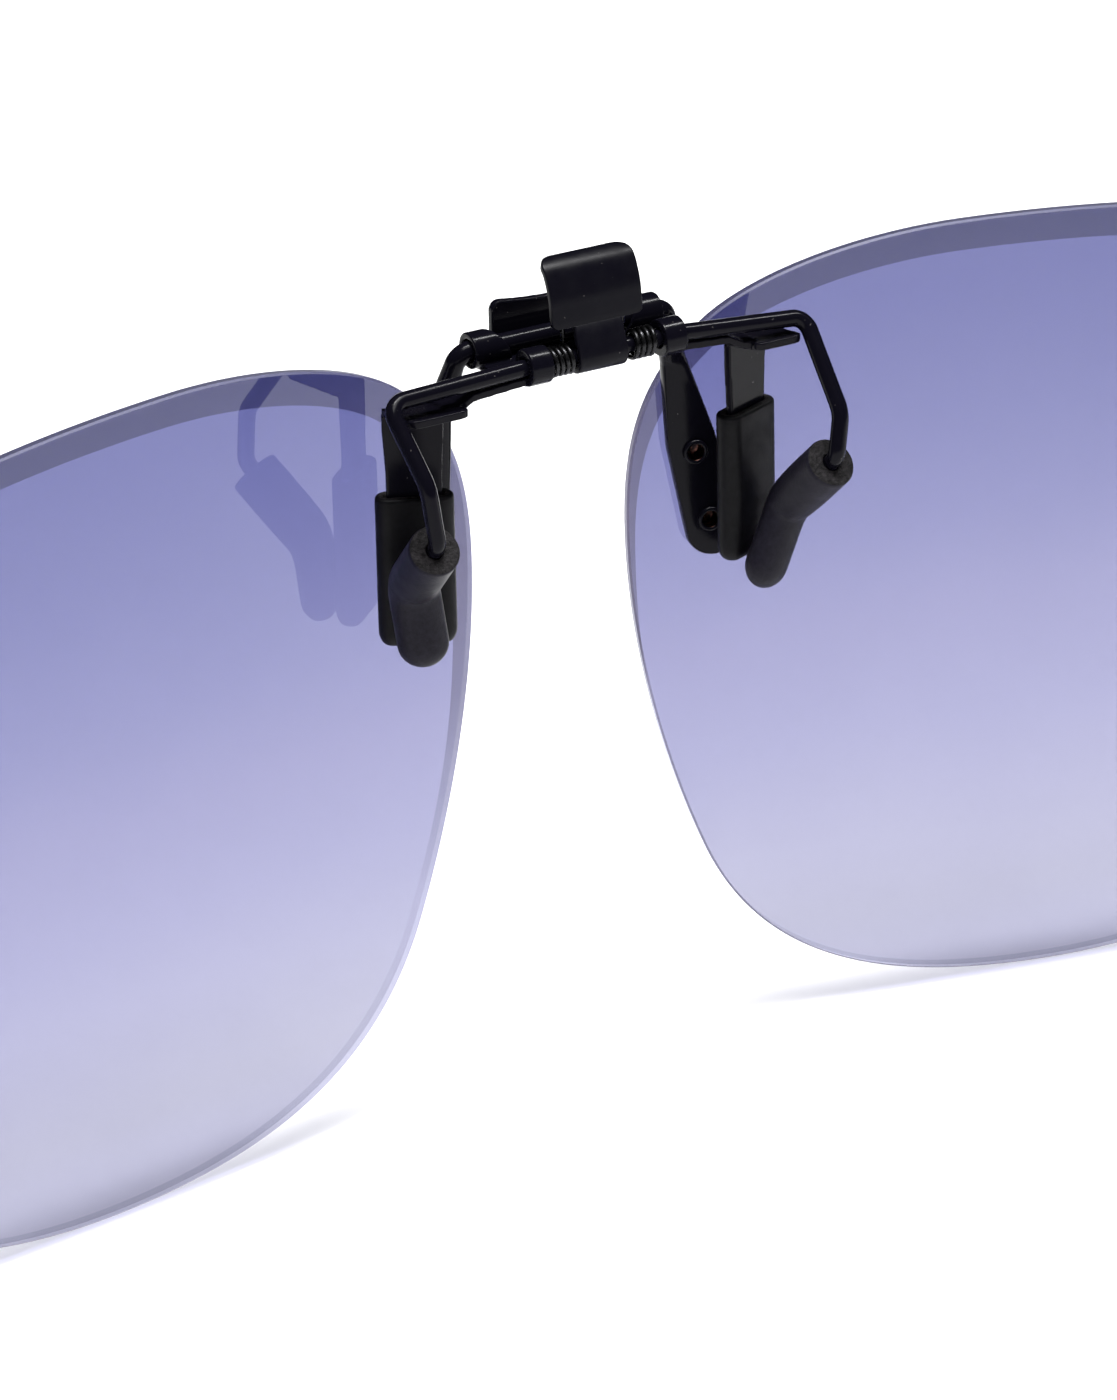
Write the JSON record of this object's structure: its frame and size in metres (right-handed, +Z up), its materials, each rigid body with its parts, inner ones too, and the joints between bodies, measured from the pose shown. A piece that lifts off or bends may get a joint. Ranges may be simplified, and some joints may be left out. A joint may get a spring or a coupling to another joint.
{
  "type": "clip-on sunglasses",
  "caption": "Flip-up clip-on sunglasses: rimless tinted lenses on a hinged bridge, with a sprung wire clip and rubber grips that hold on to spectacles.",
  "frame": {"origin": "middle of the box around the whole object, at the level of the lenses' lowest points", "axes": "+X towards the wearer's right, +Y forward and away from the face, +Z up"},
  "size_m": [0.128, 0.0122, 0.0527],
  "materials": {
    "black_metal": "black electroplated steel, satin gloss",
    "spring_steel": "blackened spring wire",
    "tinted_lens": "polished, blue-grey tint that fades from dark at the top to pale at the bottom",
    "black_rubber": "soft matte",
    "rivet": "blackened, copper colour showing inside the bore",
    "washer": "black nylon"
  },
  "bodies": {
    "bracket": {"hinge_bracket": "black_metal", "left_leg_sleeve": "black_rubber", "right_leg_sleeve": "black_rubber", "left_torsion_spring": "spring_steel", "right_torsion_spring": "spring_steel"},
    "lenses": {"lens_bridge": "black_metal", "left_lens": "tinted_lens", "right_lens": "tinted_lens", "left_upper_rivet": "rivet", "left_lower_rivet": "rivet", "right_upper_rivet": "rivet", "right_lower_rivet": "rivet", "left_upper_washer": "washer", "left_lower_washer": "washer", "right_upper_washer": "washer", "right_lower_washer": "washer"},
    "clip": {"clip_wire": "black_metal", "thumb_tab": "black_metal", "left_rubber_tip": "black_rubber", "right_rubber_tip": "black_rubber"}
  },
  "joints": [
    {"name": "lens_flip", "type": "hinge", "parent": "bracket", "child": "lenses", "pos_m": [0, 0.00271, 0.047], "axis": [1, 0, 0], "range_deg": [0, 90]},
    {"name": "clip_pivot", "type": "hinge", "parent": "bracket", "child": "clip", "pos_m": [0, -0.00139, 0.047], "axis": [-1, 0, 0], "range_deg": [0, 40], "stiffness_Nm_per_rad": 0.03, "springref_deg": -17.19, "deforming": ["left_torsion_spring", "right_torsion_spring"]}
  ]
}
